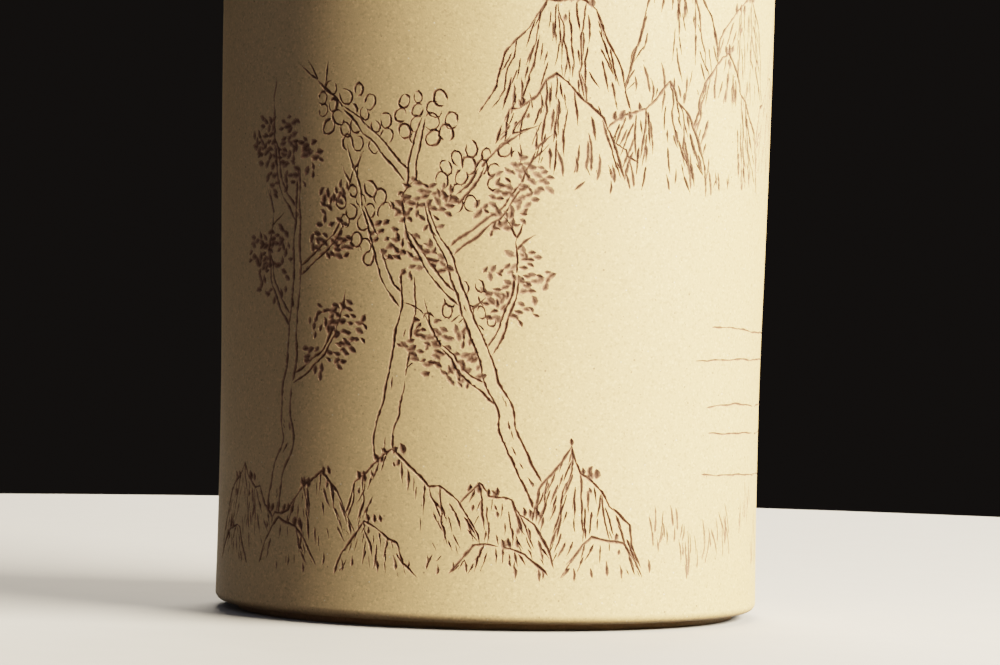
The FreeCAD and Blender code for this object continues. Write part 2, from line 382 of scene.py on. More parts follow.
def hatch(outline, falls, lines, spacing, length, reach, width, depth):
    """Texture strokes inside an outline, crowded beside the lines and few in the open.

    falls lists (u, v, angle): a stroke falls at the angle of the nearest one.  Within about the reach
    of a line most places take a stroke.
    """
    us, vs = [p[0] for p in outline], [p[1] for p in outline]
    middle = ((min(us) + max(us)) / 2, (min(vs) + max(vs)) / 2)
    span = (0.56 * (max(us) - min(us)), 0.56 * (max(vs) - min(vs)))
    for place in scattered(*middle, *span, spacing, 1.4):
        if not inside(place, outline) or hidden(place):
            continue
        if rng.random() > 1.15 * math.exp(-((off_lines(place, lines) / reach) ** 2)):
            continue
        _, _, angle = min(falls, key=lambda f: math.dist(f[:2], place))
        heading = math.radians(angle) + rng.uniform(-0.13, 0.13)
        run, curl = rng.uniform(*length), rng.uniform(-0.22, 0.22)
        points = [place]
        for k in range(3):
            heading += curl / 3
            points.append(onward(points[-1], heading, run / 3))
        points = [p for p in points if inside(p, outline)]
        if len(points) > 1:
            cut(points, width * rng.uniform(0.8, 1.3), depth * rng.uniform(0.85, 1.3), taper=(0.6, 1.8),
                wobble=0.06)


def moss(line, count):
    """Groups of small domed tufts standing on a ridge, with a few more below it."""
    level = [k for k in range(1, len(line) - 1)
             if abs(line[k + 1][1] - line[k - 1][1]) < 0.9 * abs(line[k + 1][0] - line[k - 1][0])]
    for _ in range(count if level else 0):
        u, v = line[rng.choice(level)]
        for j in range(rng.choice((1, 2, 2, 3))):
            dab(u + 1.4 * j + rng.uniform(-0.2, 0.2), v + rng.uniform(0.6, 1.1), rng.uniform(1.2, 1.7),
                rng.uniform(1.1, 2.0), DEEP)
        if rng.random() < 0.7:
            dab(u + rng.uniform(-1, 2), v - rng.uniform(1.4, 3.4), rng.uniform(0.8, 1.2),
                rng.uniform(1.1, 2.0), SHALLOW)


def rock(ridge, falls, creases, spacing, length, reach, tufts, width):
    """A rock: an angular outline from one foot over its crest to the other, creases and texture inside."""
    edge = straight(crooked(ridge))
    broken(edge, width, chance=0.1)
    moss(edge, tufts)
    base = straight([ridge[0], ridge[-1]], 2.0)
    lines = [edge, base]
    for crease in creases:
        line = straight(crooked(crease))
        broken(line, width * 0.88, DEEP * 0.9, chance=0.2)
        lines.append(line)
    hatch(edge, falls, lines, spacing, length, reach, width * 0.84, DEEP * 0.85)
    shield(edge)


def dashes(start, end, count, length, lean=90, spread=2.0, width=THIN, depth=SHALLOW, hide=True):
    """Short upright strokes of grass along a line."""
    for _ in range(count):
        t = rng.random()
        u = start[0] + (end[0] - start[0]) * t + rng.uniform(-0.4, 0.4)
        v = start[1] + (end[1] - start[1]) * t + rng.uniform(-spread, spread) / 2
        run, heading = rng.uniform(*length), math.radians(lean + rng.uniform(-14, 14))
        cut([(u, v), (u + run / 2 * math.cos(heading), v + run / 2 * math.sin(heading)),
             (u + run * math.cos(heading + 0.1), v + run * math.sin(heading + 0.1))],
            width * rng.uniform(0.8, 1.3), depth, taper=(0.5, 1.2), wobble=0.04, step=0.6, hide=hide)


def crest(u, v, width, height, steps):
    """An angular outline from one foot over an off-centre top to the other: steep and level by turns."""
    top = rng.uniform(0.32, 0.68)
    ridge = [(u - width / 2, v)]
    for k in range(1, steps):
        t = (k + (0.22 if k % 2 else -0.22)) / steps
        rise = t / top if t < top else (1 - t) / (1 - top)
        level = v + height * rise ** rng.uniform(0.4, 0.7) * rng.uniform(0.88, 1.05)
        ridge.append((u + width * (t - 0.5), level))
    return ridge + [(u + width / 2, v)]


def folds(ridge, count):
    """Creases that run down from points of a ridge, leaning away from its middle."""
    foot, middle = ridge[0][1], (ridge[0][0] + ridge[-1][0]) / 2
    creases = []
    for u, v in rng.sample(ridge[1:-1], min(count, len(ridge) - 2)):
        drop, drift = (v - foot) * rng.uniform(0.45, 0.8), (u - middle) * 0.25 + rng.uniform(-3, 3)
        bends = [0.0, rng.uniform(0.05, 0.5), rng.uniform(0.4, 0.8), 1.0]
        creases.append([(u + drift * bend, v - drop * k / 3) for k, bend in enumerate(bends)])
    return creases


def mass(u, v, width, height, steps, creases, spacing, length, reach, tufts, line=LINE):
    """A rock or peak whose texture strokes fan out from its top."""
    ridge = crest(u, v, width, height, steps)
    falls = [(u + width * t, v + height * 0.5, 268 + 80 * t) for t in (-0.45, -0.2, 0.05, 0.3, 0.45)]
    rock(ridge, falls, folds(ridge, creases), spacing, length, reach, tufts, line)


def spread_along(start, end, least, most):
    """Places from start to end, a random gap of least to most apart."""
    places = []
    while start < end:
        places.append(start)
        start += rng.uniform(least, most)
    return places


def grown_tree(u, v, height, lean, breadth, ring_leaved):
    """A tree grown from its root: a bending trunk, boughs to either side, foliage round their tips."""
    trunk = [(u, v)]
    for _ in range(7):
        heading = math.pi / 2 - lean + rng.uniform(-0.32, 0.32)
        trunk.append(onward(trunk[-1], heading, height / 7))
    shares = (1.3, 1.0, 0.9, 0.75, 0.6, 0.42, 0.2)
    limb(trunk, [breadth * share for share in shares], knots=round(height / 6))
    clumps = [(*trunk[-1], 6.0, 4.5)]
    side = rng.choice((-1, 1))
    for root in trunk[3:7]:
        heading = math.pi / 2 - lean + side * rng.uniform(0.6, 1.05)
        reach = height * rng.uniform(0.2, 0.3)
        bough = [root]
        for _ in range(3):
            bough.append(onward(bough[-1], heading, reach / 3))
            heading -= side * rng.uniform(-0.1, 0.4)
        limb(bough, [breadth * 0.5, breadth * 0.38, breadth * 0.18])
        clumps += [(*bough[-1], rng.uniform(5, 7.5), rng.uniform(4, 5.5)),
                   (*bough[2], rng.uniform(4, 6), 3.6)]
        twigs(bough[-1], heading, height * 0.1, 1)
        side = -side
    if ring_leaved:
        ring_leaves(clumps)
    else:
        pepper_leaves(clumps)
    turns = [k * math.pi / 6 for k in range(12)]
    for cu, cv, reach_u, reach_v in clumps:
        shield([(cu + reach_u * math.cos(a), cv + reach_v * math.sin(a)) for a in turns])


def shore(start, end):
    """Rocks along the water's edge, the low ones in front."""
    for u in spread_along(start, end, 17, 25):
        mass(u, rng.uniform(9.5, 11), rng.uniform(13, 22), rng.uniform(6, 11), 5, 2,
             spacing=1.4, length=(1.6, 3.6), reach=2.0, tufts=1)
    for u in spread_along(start + 6, end, 15, 23):
        mass(u, rng.uniform(11, 15), rng.uniform(23, 34), rng.uniform(15, 27), 8, 5,
             spacing=1.5, length=(2.0, 5.0), reach=2.4, tufts=4)
    dashes((start, 10.4), (end, 10.8), round((end - start) / 4), (1.5, 3.0), width=LINE, hide=False)


def open_water(start, end):
    """Level lines of far water, with reeds before them."""
    for v in spread_along(30, 62, 5, 9):
        left, right = start + rng.uniform(0, 12), end - rng.uniform(0, 12)
        points = [(left + (right - left) * t, v + rng.uniform(-0.6, 0.6)) for t in (0, 0.3, 0.6, 1)]
        broken(straight(points), FINE, FAINT + 0.04, chance=0.45, gap=2)
    for u in spread_along(start, end, 7, 11):
        v = rng.uniform(12, 22)
        dashes((u - 4, v), (u + 4, v + 1), 13, (2.6, 6.5), lean=rng.uniform(74, 104), spread=6,
               width=FINE, depth=FAINT)


def peaks(start, end):
    """Two rows of peaks over the mist, the nearer and lower row first."""
    for low, high, tall, line in ((84, 92, (16, 30), LINE), (98, 106, (24, 34), THIN)):
        for u in spread_along(start, end, 18, 27):
            width, v = rng.uniform(20, 31), rng.uniform(low, high)
            mass(u, v, width, rng.uniform(*tall), 8, 4,
                 spacing=1.6, length=(2.4, 7.0), reach=2.2, tufts=2, line=line)
            dashes((u - 0.4 * width, v + 1), (u + 0.4 * width, v + 1), 9, (2.4, 6),
                   lean=rng.uniform(84, 98), spread=3, hide=False)


def draw_picture():
    """Trees on one side, heights on the other, and water between them, all round to the seam."""
    shore(-64, 34)
    for u, height, lean, breadth, ring_leaved in ((14, 62, -0.16, 3.4, False), (-17, 74, 0.1, 4.2, True),
                                                  (-49, 66, 0.14, 3.2, False)):
        grown_tree(u, 14, height + 10, lean, breadth, ring_leaved)
    open_water(38, 92)
    peaks(12, 128)
    shore(104, 140)
    grown_tree(120, 15, 58, 0.12, 3.2, False)
    open_water(136, 160)


# ---------------------------------------------------------------- meshes

def make_piece(name, points, faces, material, nodes=(), sharp=35.0):
    """A mesh object of points in millimetres, riding on the pot in place of those CAD nodes."""
    mesh = bpy.data.meshes.new(name)
    mesh.from_pydata((np.asarray(points) * MM).tolist(), [], faces)
    mesh.shade_smooth()
    mesh.set_sharp_from_angle(angle=math.radians(sharp))
    mesh.materials.append(material)
    piece = bpy.data.objects.new(name, mesh)
    bpy.context.collection.objects.link(piece)
    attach(piece, "root")
    if nodes:
        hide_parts(*nodes)
    return piece


def ring_faces(rows, columns, closed_rows=True):
    """Quads of a grid of rows that closes round its columns, and round its rows too if asked."""
    faces = []
    for i in range(rows if closed_rows else rows - 1):
        for j in range(columns):
            a, b = i * columns + j, i * columns + (j + 1) % columns
            c, d = ((i + 1) % rows) * columns + (j + 1) % columns, ((i + 1) % rows) * columns + j
            faces.append((a, b, c, d))
    return faces


def turned_piece(name, section, material, nodes, sharp=35.0):
    """A closed ring: section(angle) gives the (radius, level) pairs of its outline, anticlockwise."""
    angles = np.linspace(0, math.tau, COLUMNS, endpoint=False)
    loops = np.array([section(a) for a in angles])
    points = np.concatenate([on_turn(angles, radius, level) for radius, level in loops.transpose(1, 2, 0)])
    return make_piece(name, points, ring_faces(loops.shape[1], COLUMNS), material, nodes, sharp)


def arc(centre, radius, start, end, count):
    """Points of an arc in the (radius, level) plane, angles in degrees."""
    return [(centre[0] + radius * math.cos(math.radians(start + (end - start) * k / count)),
             centre[1] + radius * math.sin(math.radians(start + (end - start) * k / count)))
            for k in range(count + 1)]


# ---------------------------------------------------------------- the carved wall

SEAM_OUT = math.pi - 3.0 / ROLL_RADIUS       # where the bevelled seam meets the outer face
SEAM_IN = math.pi + 2.0 / (ROLL_RADIUS - WALL)
SEAM_HALF = SLIP / 2 * math.sqrt(1 + (SCARF_RUN / WALL) ** 2)
CARVED_LOW, CARVED_HIGH = WALL_FOOT + EDGE_ROUND, LIP - LIP_ROUND
ROWS = 70                                    # divisions of the wall's height
GRAIN_OF_GRID = 0.7                          # cells this wide round the strokes hold no grid point
FILM = 0.03                                  # thickness of the wash in a groove
LEAST_GROOVE = 0.004                         # a triangle cut deeper than this belongs to a groove
INNER_ROW = 9                                # the grid row of the inner face's lowest level

def round_from_seam(seam, radius):
    """Angles of the wall's columns, from one side of the seam round to the other."""
    half = SEAM_HALF / radius
    return np.linspace(seam - math.tau + half, seam - half, COLUMNS + 1)


outer_angles = round_from_seam(SEAM_OUT, ROLL_RADIUS)
inner_angles = round_from_seam(SEAM_IN, ROLL_RADIUS - WALL)
levels = np.linspace(CARVED_LOW, CARVED_HIGH, ROWS + 1)


def wall_face(u, v, depth=0.0):
    """Points of the wall's outer face, from their place on the unrolled wall and their depth."""
    angle = u / ROLL_RADIUS
    return on_turn(angle, side_radius(v) - outer_dent(angle, v) - depth, v)


def wall_normals(u, v):
    """Unit normals of the uncut outer face."""
    step = 0.05
    along = wall_face(u + step, v) - wall_face(u - step, v)
    up = wall_face(u, v + step) - wall_face(u, v - step)
    normals = np.cross(along, up)
    return normals / np.linalg.norm(normals, axis=1, keepdims=True)


def groove_depths(places):
    """How deep the strokes cut at each place, in millimetres."""
    depths = np.zeros(len(places))
    order = np.argsort(places[:, 0])
    sorted_u = places[order, 0]
    for points, halves, depth in cuts:
        line, halves = np.array(points), np.array(halves)
        low, high = line.min(0) - halves.max(), line.max(0) + halves.max()
        near = order[np.searchsorted(sorted_u, low[0]):np.searchsorted(sorted_u, high[0])]
        near = near[(places[near, 1] > low[1]) & (places[near, 1] < high[1])]
        start, run = line[:-1], np.diff(line, axis=0)
        away = places[near][:, None] - start
        t = np.clip((away * run).sum(2) / np.maximum((run**2).sum(1), 1e-9), 0, 1)
        distance = np.linalg.norm(away - t[:, :, None] * run, axis=2)
        half = halves[:-1] + np.diff(halves) * t
        slope = np.clip(1 - distance / (0.97 * half), 0, 1)
        cut_here = (depth * (half / halves.max()) ** 0.7 * slope).max(1, initial=0)
        depths[near] = np.maximum(depths[near], cut_here)
    return depths


def triangulated():
    """Places on the unrolled wall and triangles between them, which follow every stroke."""
    places, edges = [], []

    def chain(points, closed=False):
        first = len(places)
        places.extend(points)
        edges.extend((first + k, first + k + 1) for k in range(len(points) - 1))
        if closed:
            edges.append((len(places) - 1, first))

    across = outer_angles * ROLL_RADIUS
    low, high = levels[0], levels[-1]
    chain([(u, low) for u in across] + [(across[-1], v) for v in levels[1:]]
          + [(u, high) for u in across[-2::-1]] + [(across[0], v) for v in levels[-2:0:-1]], closed=True)
    taken = set()
    for points, halves, _ in cuts:
        left, right = two_sides(points, halves)
        sides = sideways(points)
        (du, dv), (eu, ev) = sides[0], sides[-1]
        start = (points[0][0] - dv * halves[0], points[0][1] + du * halves[0])
        end = (points[-1][0] + ev * halves[-1], points[-1][1] - eu * halves[-1])
        chain([start, *left, end, *right[::-1]], closed=True)
        chain([start, *points, end])
        taken.update((round(u / GRAIN_OF_GRID), round(v / GRAIN_OF_GRID)) for u, v in left + points + right)
    for i, v in enumerate(levels[1:-1]):
        for j in range(1, COLUMNS):
            u = across[j] + (across[1] - across[0]) * (0.5 if i % 2 else 0.0)
            if u < across[-1] - 0.5 and (round(u / GRAIN_OF_GRID), round(v / GRAIN_OF_GRID)) not in taken:
                places.append((u, v))
    flat = delaunay_2d_cdt([Vector(p) for p in places], edges, [], 0, 1e-3, False)
    return np.array([tuple(p) for p in flat[0]]), np.array([tuple(f) for f in flat[2]])


def wall_section(angle):
    """The wall's section from the lower edge, up the inside and over the lip.

    Each point is (radius, level, share of the way to the inner face).
    """
    foot, lip = float(side_radius(WALL_FOOT)), float(side_radius(LIP))
    edge = [(r, z, (foot - r) / WALL)
            for r, z in arc((foot - EDGE_ROUND, CARVED_LOW), EDGE_ROUND, 0, -90, 6)[1:]]
    under = [(foot - 3.4, WALL_FOOT, 3.4 / WALL), (foot - WALL, WALL_FOOT, 1.0)]
    inside_face = [(float(side_radius(z)) - WALL, z, 1.0) for z in levels]
    top = lip_level(angle)
    rim = [(lip - WALL, top, 1.0), (lip - 3.2, top, 3.2 / WALL)]
    rim += [(r, z - (LIP - top) * (z - CARVED_HIGH) / LIP_ROUND, (lip - r) / WALL)
            for r, z in arc((lip - LIP_ROUND, CARVED_HIGH), LIP_ROUND, 90, 0, 6)[:-1]]
    return edge + under + inside_face + rim


def carve_wall(clay, wash):
    """The wall with its grooves, and the wash that lies in them."""
    places, triangles = triangulated()
    depths = groove_depths(places)
    centres = places[triangles].mean(1)
    grooved = groove_depths(centres) > LEAST_GROOVE
    outer = wall_face(places[:, 0], places[:, 1], depths)
    count = len(places)

    sections = [wall_section(a) for a in outer_angles]
    rows = len(sections[0])
    strips = np.empty((rows, COLUMNS + 1, 3))
    for k in range(rows):
        radius, level, share = np.array([s[k] for s in sections]).T
        angle = outer_angles + (inner_angles - outer_angles) * share
        if share[0] < 0.5:
            radius = radius - outer_dent(angle, level)
        elif level[0] < LIP - 1:
            radius = radius + inner_dent(angle, level)
        strips[k] = on_turn(angle, radius, level)
    points = np.concatenate([outer, strips.reshape(-1, 3)])

    def along(axis, value, sort_by):
        found = np.flatnonzero(abs(places[:, axis] - value) < 1e-3)
        return found[np.argsort(places[found, sort_by])]

    low_row, high_row = along(1, levels[0], 0), along(1, levels[-1], 0)
    first_column, last_column = along(0, places[:, 0].min(), 1), along(0, places[:, 0].max(), 1)
    grid = count + np.arange(rows * (COLUMNS + 1)).reshape(rows, COLUMNS + 1)
    grid = np.concatenate([[low_row], grid, [high_row]])

    faces = triangles.tolist()
    for k in range(rows + 1):
        a, b = grid[k], grid[k + 1]
        faces += np.stack([a[:-1], b[:-1], b[1:], a[1:]], axis=1).tolist()
    strip_faces = len(faces) - len(triangles)
    for j, column, turn in ((0, first_column, 1), (COLUMNS, last_column, -1)):
        caps = [[column[i], column[i + 1], grid[INNER_ROW + i + 1][j], grid[INNER_ROW + i][j]]
                for i in range(ROWS)]
        caps.append([grid[k][j] for k in range(INNER_ROW - 1, -1, -1)] + [grid[INNER_ROW][j]])
        caps.append([grid[k][j] for k in range(rows + 1, INNER_ROW + ROWS - 1, -1)])
        faces += [[int(i) for i in cap[::turn]] for cap in caps]

    wall = make_piece("wall", points, faces, clay, ["wall_slab"])
    set_wall_normals(wall.data, places, triangles, grooved, points)
    unroll(wall.data, places, len(triangles), strip_faces, grid, points)
    lay_wash(places, triangles[grooved], depths, wash)


def lay_wash(places, grooved, depths, wash):
    """The wash: the grooved triangles, a film's thickness higher, closed below inside the clay."""
    used, index = np.unique(grooved, return_inverse=True)
    film = index.reshape(-1, 3)
    size = len(used)
    above = np.where(depths[used] > 0, np.maximum(depths[used] - FILM, 0.0), 0.0)
    u, v = places[used].T
    body = np.concatenate([wall_face(u, v, above), wall_face(u, v, depths[used] + FILM)])
    sides = np.concatenate([film[:, [0, 1]], film[:, [1, 2]], film[:, [2, 0]]])
    known = {tuple(e) for e in sides.tolist()}
    rims = [(a, b) for a, b in sides.tolist() if (b, a) not in known]
    faces = film.tolist() + (film[:, ::-1] + size).tolist() + [[b, a, a + size, b + size] for a, b in rims]
    lines = make_piece("line_wash", body, faces, wash, sharp=60.0)
    depth_of = lines.data.attributes.new("groove_depth", "FLOAT", "POINT")
    depth_of.data.foreach_set("value", np.tile(depths[used], 2).astype(np.float32))
    span = outer_angles[-1] - outer_angles[0]
    share = (u / ROLL_RADIUS - outer_angles[0]) / span
    flat = np.stack([0.01 + 0.98 * share, 0.51 + 0.48 * v / LIP], axis=1)
    set_map(lines.data, np.concatenate([flat, flat - (0, 0.5)]))


def set_wall_normals(mesh, places, triangles, grooved, points):
    """Exact normals on the uncut face, and smooth ones inside each groove that stop at its edge."""
    count = len(places)
    plain = wall_normals(places[:, 0], places[:, 1])
    corners = points[triangles[grooved]]
    across = np.cross(corners[:, 1] - corners[:, 0], corners[:, 2] - corners[:, 0])
    cut_normals = np.zeros((count, 3))
    for k in range(3):
        np.add.at(cut_normals, triangles[grooved][:, k], across)
    cut_normals /= np.maximum(np.linalg.norm(cut_normals, axis=1, keepdims=True), 1e-12)
    vertex = np.empty(len(mesh.loops), np.int32)
    mesh.loops.foreach_get("vertex_index", vertex)
    normals = np.zeros((len(mesh.loops), 3))
    first = 3 * len(triangles)
    corner = vertex[:first]
    in_groove = np.repeat(grooved, 3)
    normals[:first] = np.where(in_groove[:, None], cut_normals[corner], plain[corner])
    rest = vertex[first:]
    on_edge = rest < count
    normals[first:][on_edge] = plain[rest[on_edge]]
    mesh.normals_split_custom_set(normals.tolist())


def set_map(mesh, by_vertex=None, by_corner=None):
    """The bake's map, from a place per vertex or per corner."""
    layer = mesh.uv_layers.new(name="OFBake")
    if by_corner is None:
        vertex = np.empty(len(mesh.loops), np.int32)
        mesh.loops.foreach_get("vertex_index", vertex)
        by_corner = by_vertex[vertex]
    layer.uv.foreach_set("vector", np.ascontiguousarray(by_corner, np.float32).ravel())


def unroll(mesh, places, triangle_count, strip_faces, grid, points):
    """Lays the wall out for baking: round the pot across, and round the slab's section up."""
    section = points[grid[:, 0]]
    steps = np.linalg.norm(np.diff(section, axis=0), axis=1)
    outer_height = levels[-1] - levels[0]
    total = outer_height + steps.sum()
    up = 1 - np.concatenate([[0], np.cumsum(steps)]) / total
    span = outer_angles[-1] - outer_angles[0]
    corner_map = np.zeros((len(mesh.loops), 2))
    vertex = np.empty(len(mesh.loops), np.int32)
    mesh.loops.foreach_get("vertex_index", vertex)
    first = 3 * triangle_count
    flat = np.stack([(places[:, 0] / ROLL_RADIUS - outer_angles[0]) / span,
                     (places[:, 1] - levels[0]) / total], axis=1)
    corner_map[:first] = flat[vertex[:first]]
    j = np.arange(COLUMNS)
    block = []
    for k in range(len(grid) - 1):
        corners = np.stack([np.stack([j, j, j + 1, j + 1], 1) / COLUMNS,
                            np.tile([up[k], up[k + 1], up[k + 1], up[k]], (COLUMNS, 1))], axis=2)
        block.append(corners.reshape(-1, 2))
    last = first + 4 * strip_faces
    corner_map[first:last] = np.concatenate(block)
    corner_map *= (0.96, 0.98)
    corner_map += (0.005, 0.01)
    rest = points[vertex[last:]]
    radius = np.hypot(rest[:, 0], rest[:, 1])
    corner_map[last:, 0] = 0.972 + 0.02 * (side_radius(rest[:, 2]) - radius) / WALL
    corner_map[last:, 1] = 0.01 + 0.98 * rest[:, 2] / LIP
    set_map(mesh, by_corner=corner_map)


# ---------------------------------------------------------------- the other pieces

WIPED = 0.02                                 # how far the seam's slip lies below the wall's face


def lip_level(angle):
    """The lip's hand-finished top."""
    return LIP - uneven(angle, 0.0, 0.12, 2.0)


def mouth_section(angle):
    """The band inside the mouth, thickening the lip."""
    top, inside, foot = lip_level(angle), BAND_OUTSIDE - BAND_THICK, LIP - BAND_HEIGHT
    foot += uneven(angle, 0.0, 0.25, 0.7)
    inside += uneven(angle, 90.0, 0.12, 3.0)
    return ([(BAND_OUTSIDE, foot), (BAND_OUTSIDE, (foot + top) / 2), (BAND_OUTSIDE, top)]
            + arc((inside + LIP_ROUND, top - LIP_ROUND), LIP_ROUND, 90, 180, 6)
            + [(inside, top - 3.2), (inside, foot + 2.0)]
            + arc((inside + 0.9, foot + 0.9), 0.9, 180, 270, 5))


def mouth_slip_section(angle):
    top, foot = lip_level(angle), LIP - BAND_HEIGHT + uneven(angle, 0.0, 0.25, 0.7)
    wall_inside = [float(side_radius(z)) - WALL for z in (foot, top)]
    return [(BAND_OUTSIDE, top), (BAND_OUTSIDE, foot), (wall_inside[0], foot), (wall_inside[1], top)]


def coil_section(angle):
    """The coil smoothed into the inside corner, its edges feathered by a fingertip."""
    floor = disc_high.z
    out_low, out_high = (float(side_radius(z)) - WALL for z in (floor, floor + COIL))
    leg = COIL - uneven(angle, 5.0, 0.5, 1.1)
    hollow = arc((out_high - leg, floor + leg), leg, 0, -90, 8)
    return [(out_low, floor)] + [(r, z + 0.02) for r, z in hollow] + [(out_high - leg, floor)]


def base_slip_section(_):
    """The slip round the disc, the same all the way round."""
    inner = [float(side_radius(z)) - WALL for z in (disc_low.z, disc_high.z)]
    return [(DISC_RADIUS, disc_high.z), (DISC_RADIUS, disc_low.z),
            (inner[0], disc_low.z), (inner[1], disc_high.z)]


def foot_section(angle):
    """The low ring that the pot stands on, ground smooth underneath."""
    inside = FOOT_OUTSIDE - FOOT_WIDTH + uneven(angle, 0.0, 0.25, 2.2)
    outside = FOOT_OUTSIDE - uneven(angle, 0.0, 0.2, 1.2)
    top, worn = foot_high.z, 0.55
    return ([(outside, top), (inside, top)]
            + arc((inside + worn, worn), worn, 180, 270, 4) + [(inside + 2.4, 0.0)]
            + arc((outside - worn, worn), worn, 270, 360, 4))


def foot_slip_section(angle):
    inside = FOOT_OUTSIDE - FOOT_WIDTH + uneven(angle, 0.0, 0.25, 2.2) - 0.1
    outside = FOOT_OUTSIDE - uneven(angle, 0.0, 0.2, 1.2) + 0.1
    return [(inside, WALL_FOOT), (inside, foot_high.z), (outside, foot_high.z), (outside, WALL_FOOT)]


def base_disc_piece(clay):
    """The disc in the foot of the tube, with shallow scraper marks on both faces."""
    radii = np.concatenate([np.linspace(0.6, DISC_RADIUS - 0.3, 62), [DISC_RADIUS]])
    angles = np.linspace(0, math.tau, COLUMNS, endpoint=False)
    rows = []
    for height, faces_up in ((disc_high.z, True), (disc_low.z, False)):
        face = []
        for r in radii:
            swirl = angles + r / 16
            mark = 0.5 + 0.5 * np.sin(r * 2.3 + 1.4 * np.sin(3 * swirl) + 0.8 * np.sin(7 * swirl))
            dent = (0.07 * mark + uneven(angles, r, 0.16, 0.9)) * min(1.0, (DISC_RADIUS - r) / 5)
            level = height - dent if faces_up else height + dent * 0.6
            face.append(on_turn(angles, np.full(COLUMNS, r), level))
        rows.append(face)
    loops = rows[0] + rows[1][::-1]
    centres = [on_turn(np.zeros(1), np.zeros(1), z) for z in (disc_high.z, disc_low.z)]
    points = np.concatenate(loops + centres)
    count = len(loops)
    faces = [f[::-1] for f in ring_faces(count, COLUMNS, closed_rows=False)]
    top, bottom = len(points) - 2, len(points) - 1
    for j in range(COLUMNS):
        k = (j + 1) % COLUMNS
        faces.append((top, j, k))
        faces.append((bottom, (count - 1) * COLUMNS + k, (count - 1) * COLUMNS + j))
    return make_piece("base_disc_floor", points, faces, clay, ["base_disc"])


def seam_profile():
    """(radius, level) of the outer face along the seam: round the lower edge, up, and over the lip."""
    foot, lip, top = float(side_radius(WALL_FOOT)), float(side_radius(LIP)), lip_level(SEAM_OUT)
    lower = arc((foot - EDGE_ROUND, CARVED_LOW), EDGE_ROUND, -90, 0, 6)[:-1]
    upright = [(float(side_radius(z)), z) for z in levels]
    over = [(r, CARVED_HIGH + (z - CARVED_HIGH) * (top - CARVED_HIGH) / LIP_ROUND)
            for r, z in arc((lip - LIP_ROUND, CARVED_HIGH), LIP_ROUND, 0, 90, 6)[1:]]
    return np.array(lower + upright + over).T


def seam_piece(slip):
    """The slip in the bevelled seam, wiped flush with the wall."""
    outer_radius, height = seam_profile()
    inner_radius = side_radius(height) - WALL
    inner_share = np.clip((inner_radius + WALL - outer_radius) / WALL, 0, 1)
    gaps = ((outer_angles[-1], inner_angles[-1]), (outer_angles[0] + math.tau, inner_angles[0] + math.tau))
    corners = []
    for outer_edge, inner_edge in gaps:
        angle = outer_edge + (inner_edge - outer_edge) * inner_share
        corners.append(on_turn(angle, outer_radius - outer_dent(angle, height) - WIPED, height))
    for _, inner_edge in reversed(gaps):
        angle = np.full(len(height), inner_edge)
        dent = inner_dent(angle, height) * (height < LIP - 1)
        corners.append(on_turn(angle, inner_radius + dent, height))
    points = np.stack(corners, axis=1).reshape(-1, 3)
    steps = len(height) - 1
    faces = [(4 * i + k, 4 * i + (k + 1) % 4, 4 * i + 4 + (k + 1) % 4, 4 * i + 4 + k)
             for i in range(steps) for k in range(4)]
    faces += [(3, 2, 1, 0), tuple(4 * steps + k for k in range(4))]
    return make_piece("seam_smear", points, faces, slip, ["seam_slip"])


def build_pot():
    clay, bare_clay, slip, wash = clay_material(), floor_material(), slip_material(), wash_material()
    draw_picture()
    carve_wall(clay, wash)
    seam_piece(slip)
    base_disc_piece(bare_clay)
    turned_piece("mouth_lip", mouth_section, clay, ["mouth_band"], 50)
    turned_piece("mouth_smear", mouth_slip_section, slip, ["mouth_slip"])
    turned_piece("corner_fillet", coil_section, bare_clay, ["corner_coil"], 60)
    turned_piece("base_smear", base_slip_section, slip, ["base_slip"])
    turned_piece("foot_rim", foot_section, clay, ["foot_ring"], 50)
    turned_piece("foot_smear", foot_slip_section, slip, ["foot_slip"])


# ---------------------------------------------------------------- materials

